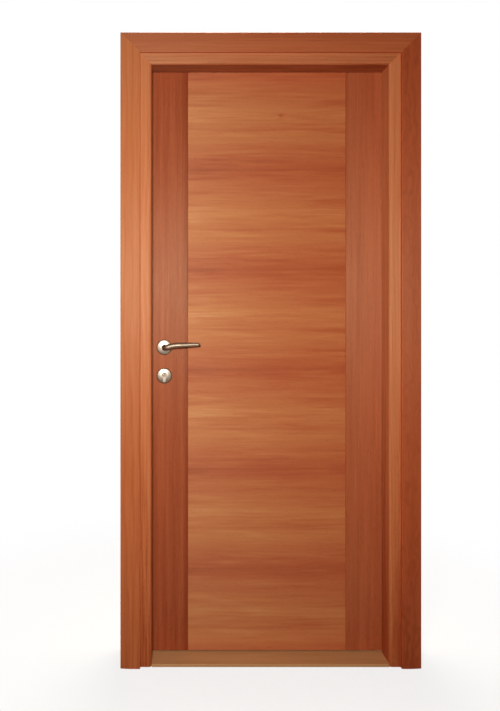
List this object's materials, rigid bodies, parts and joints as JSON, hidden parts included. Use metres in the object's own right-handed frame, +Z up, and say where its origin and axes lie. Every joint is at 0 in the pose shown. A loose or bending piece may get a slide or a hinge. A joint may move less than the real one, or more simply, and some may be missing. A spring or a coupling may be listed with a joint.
{
  "type": "hinged interior door with frame",
  "caption": "Flush veneered interior door hung in a rebated timber frame with casings on both wall faces, a threshold, a lever handle and a key lock.",
  "frame": {"origin": "on the floor under the threshold, in the middle of the frame's width and of its depth in the wall", "axes": "+X towards the hinge side, +Y away from the viewer to the side the leaf opens to, +Z up"},
  "size_m": [1.016, 0.2003, 2.147],
  "materials": {
    "frame_timber": "satin lacquered reddish-brown hardwood",
    "casing_timber": "satin lacquered reddish-brown hardwood",
    "stile_veneer": "upright-grain veneer, satin lacquered",
    "panel_veneer": "cross-grain veneer in matched sheets, satin lacquered",
    "leaf_edge": "planed timber edge, satin lacquered",
    "satin_nickel": "satin nickel plate",
    "lock_steel": "brushed steel",
    "hinge_steel": "satin nickel plate",
    "cylinder_brass": "nickel-plated brass"
  },
  "bodies": {
    "frame": {"lock_jamb": "frame_timber", "hinge_jamb": "frame_timber", "head_jamb": "frame_timber", "threshold": "frame_timber", "front_casing_lock": "casing_timber", "front_casing_hinge": "casing_timber", "front_casing_head": "casing_timber", "back_casing_lock": "casing_timber", "back_casing_hinge": "casing_timber", "back_casing_head": "casing_timber", "strike_plate": "lock_steel", "hinge_frame_leaf_low": "hinge_steel", "hinge_frame_leaf_middle": "hinge_steel", "hinge_frame_leaf_high": "hinge_steel"},
    "leaf": {"leaf_core": "leaf_edge", "lock_lipping": "leaf_edge", "hinge_lipping": "leaf_edge", "front_lock_band": "stile_veneer", "front_panel": "panel_veneer", "front_hinge_band": "stile_veneer", "back_lock_band": "stile_veneer", "back_panel": "panel_veneer", "back_hinge_band": "stile_veneer", "mortise_lock": "lock_steel", "latch_bolt": "lock_steel", "dead_bolt": "lock_steel", "key_cylinder": "cylinder_brass", "front_lever_rose": "satin_nickel", "front_key_rose": "satin_nickel", "back_lever_rose": "satin_nickel", "back_key_rose": "satin_nickel", "hinge_door_leaf_low": "hinge_steel", "hinge_door_leaf_middle": "hinge_steel", "hinge_door_leaf_high": "hinge_steel"},
    "handle": {"front_lever": "satin_nickel", "back_lever": "satin_nickel", "spindle": "lock_steel"}
  },
  "joints": [
    {"name": "leaf_swing", "type": "hinge", "parent": "frame", "child": "leaf", "pos_m": [0.4175, 0.074, 1], "axis": [0, 0, -1], "range_deg": [0, 110]},
    {"name": "handle_turn", "type": "hinge", "parent": "leaf", "child": "handle", "pos_m": [-0.36, 0.045, 1.078], "axis": [0, 1, 0], "range_deg": [0, 45], "stiffness_Nm_per_rad": 1, "springref_deg": -34.38}
  ]
}
